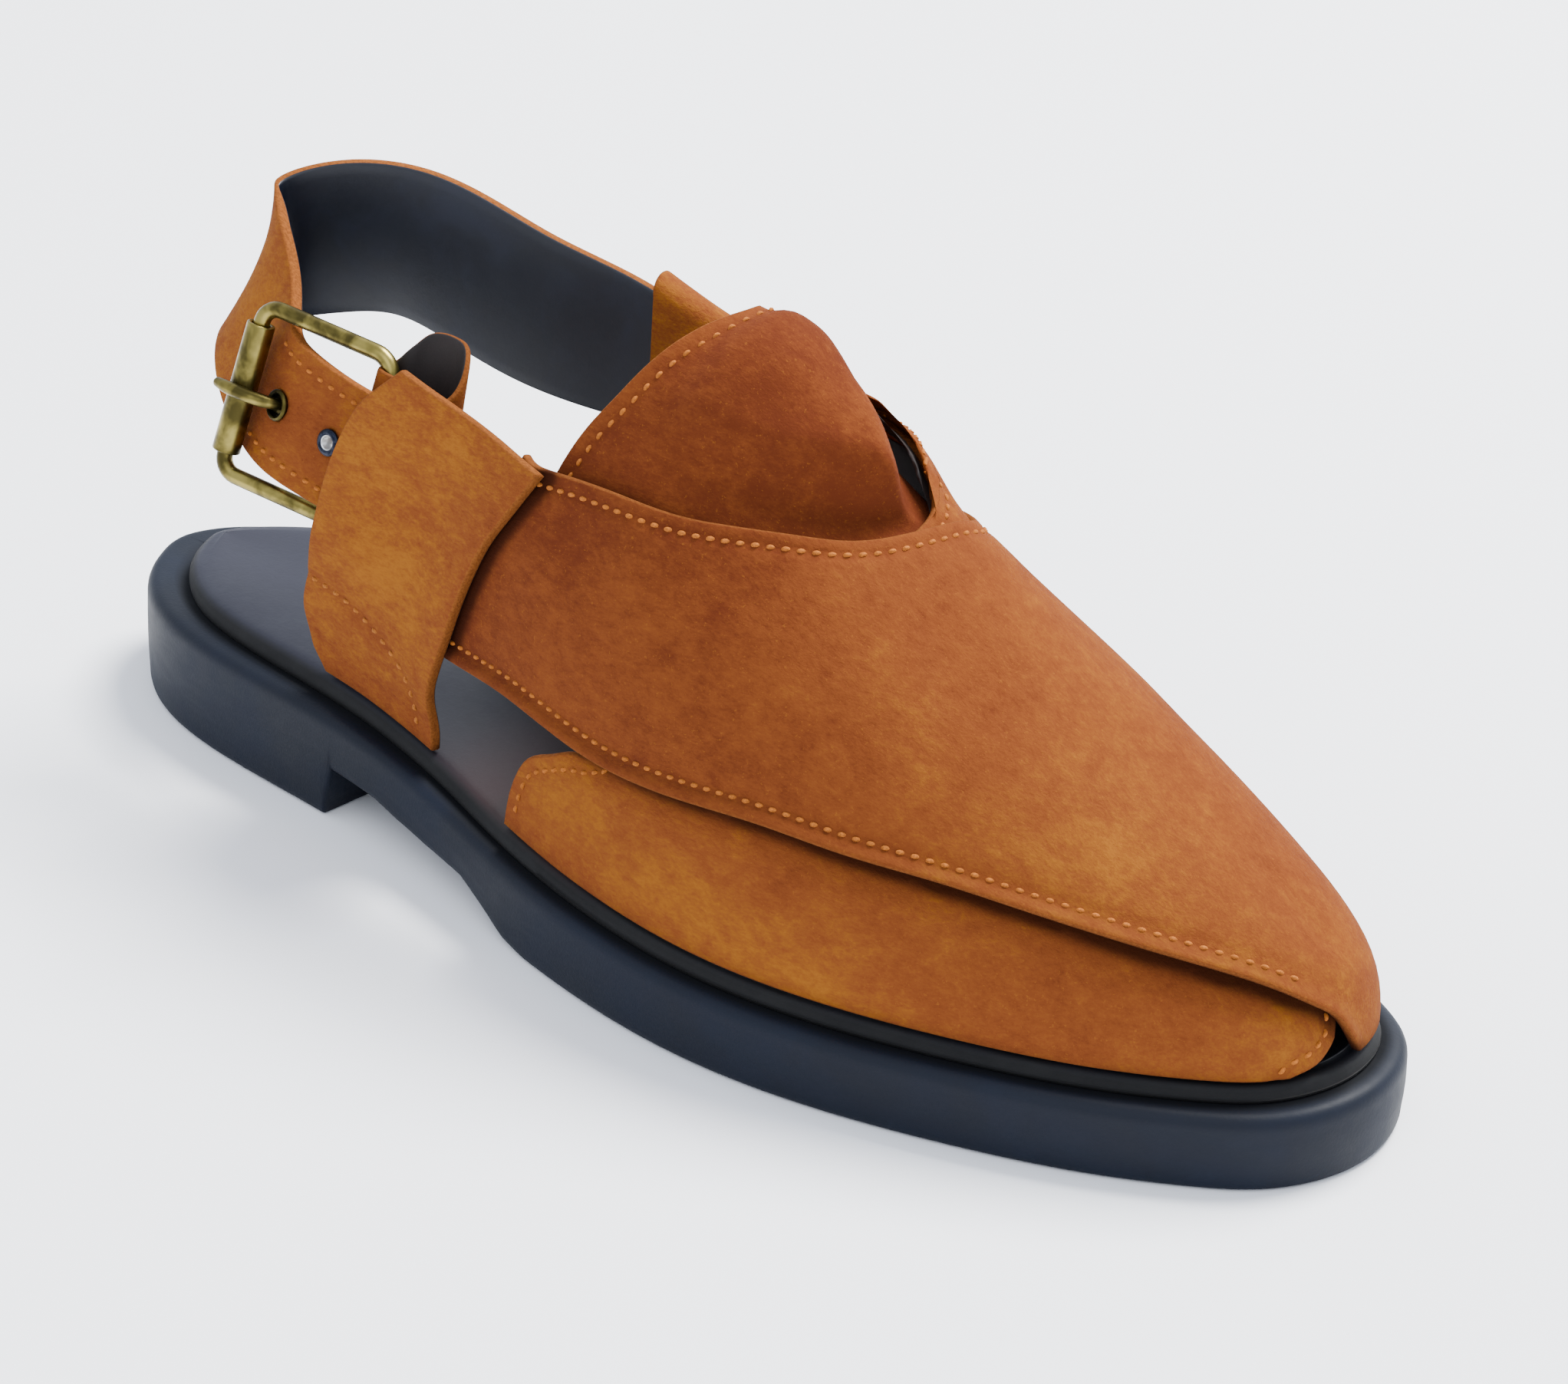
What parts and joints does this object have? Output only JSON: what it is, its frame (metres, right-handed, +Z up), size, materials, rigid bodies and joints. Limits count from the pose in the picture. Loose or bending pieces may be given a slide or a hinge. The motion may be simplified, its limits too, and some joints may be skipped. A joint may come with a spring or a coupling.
{
  "type": "peshawari chappal",
  "caption": "Right leather sandal with crossed panels closed over the toes, a tongue, upright side bands, a heel strap with a roller buckle, and a rubber sole with a raised heel.",
  "frame": {"origin": "bottom centre of the shoe's box, on the floor plane under the sole", "axes": "+X from heel to toe, +Y to the inner side of the right foot, +Z up from the floor"},
  "size_m": [0.297, 0.0986, 0.1171],
  "materials": {
    "outsole": "satin moulded rubber",
    "insole": "smooth worn leather",
    "upper": "suede nap",
    "tongue": "suede nap",
    "lateral_band": "suede nap",
    "medial_band": "suede nap",
    "heel_strap": "suede nap, dark smooth lining",
    "buckle_anchor": "suede nap",
    "buckle_frame": "aged satin",
    "buckle_roller": "aged satin",
    "buckle_prong": "aged satin",
    "eyelet_prong": "aged satin",
    "eyelet_free": "aged satin"
  },
  "bodies": {
    "root": {"outsole": "outsole", "insole": "insole", "upper": "upper", "tongue": "tongue", "lateral_band": "lateral_band", "medial_band": "medial_band", "heel_strap": "heel_strap", "buckle_anchor": "buckle_anchor", "buckle_frame": "buckle_frame", "buckle_roller": "buckle_roller", "buckle_prong": "buckle_prong", "eyelet_prong": "eyelet_prong", "eyelet_free": "eyelet_free"}
  },
  "joints": []
}
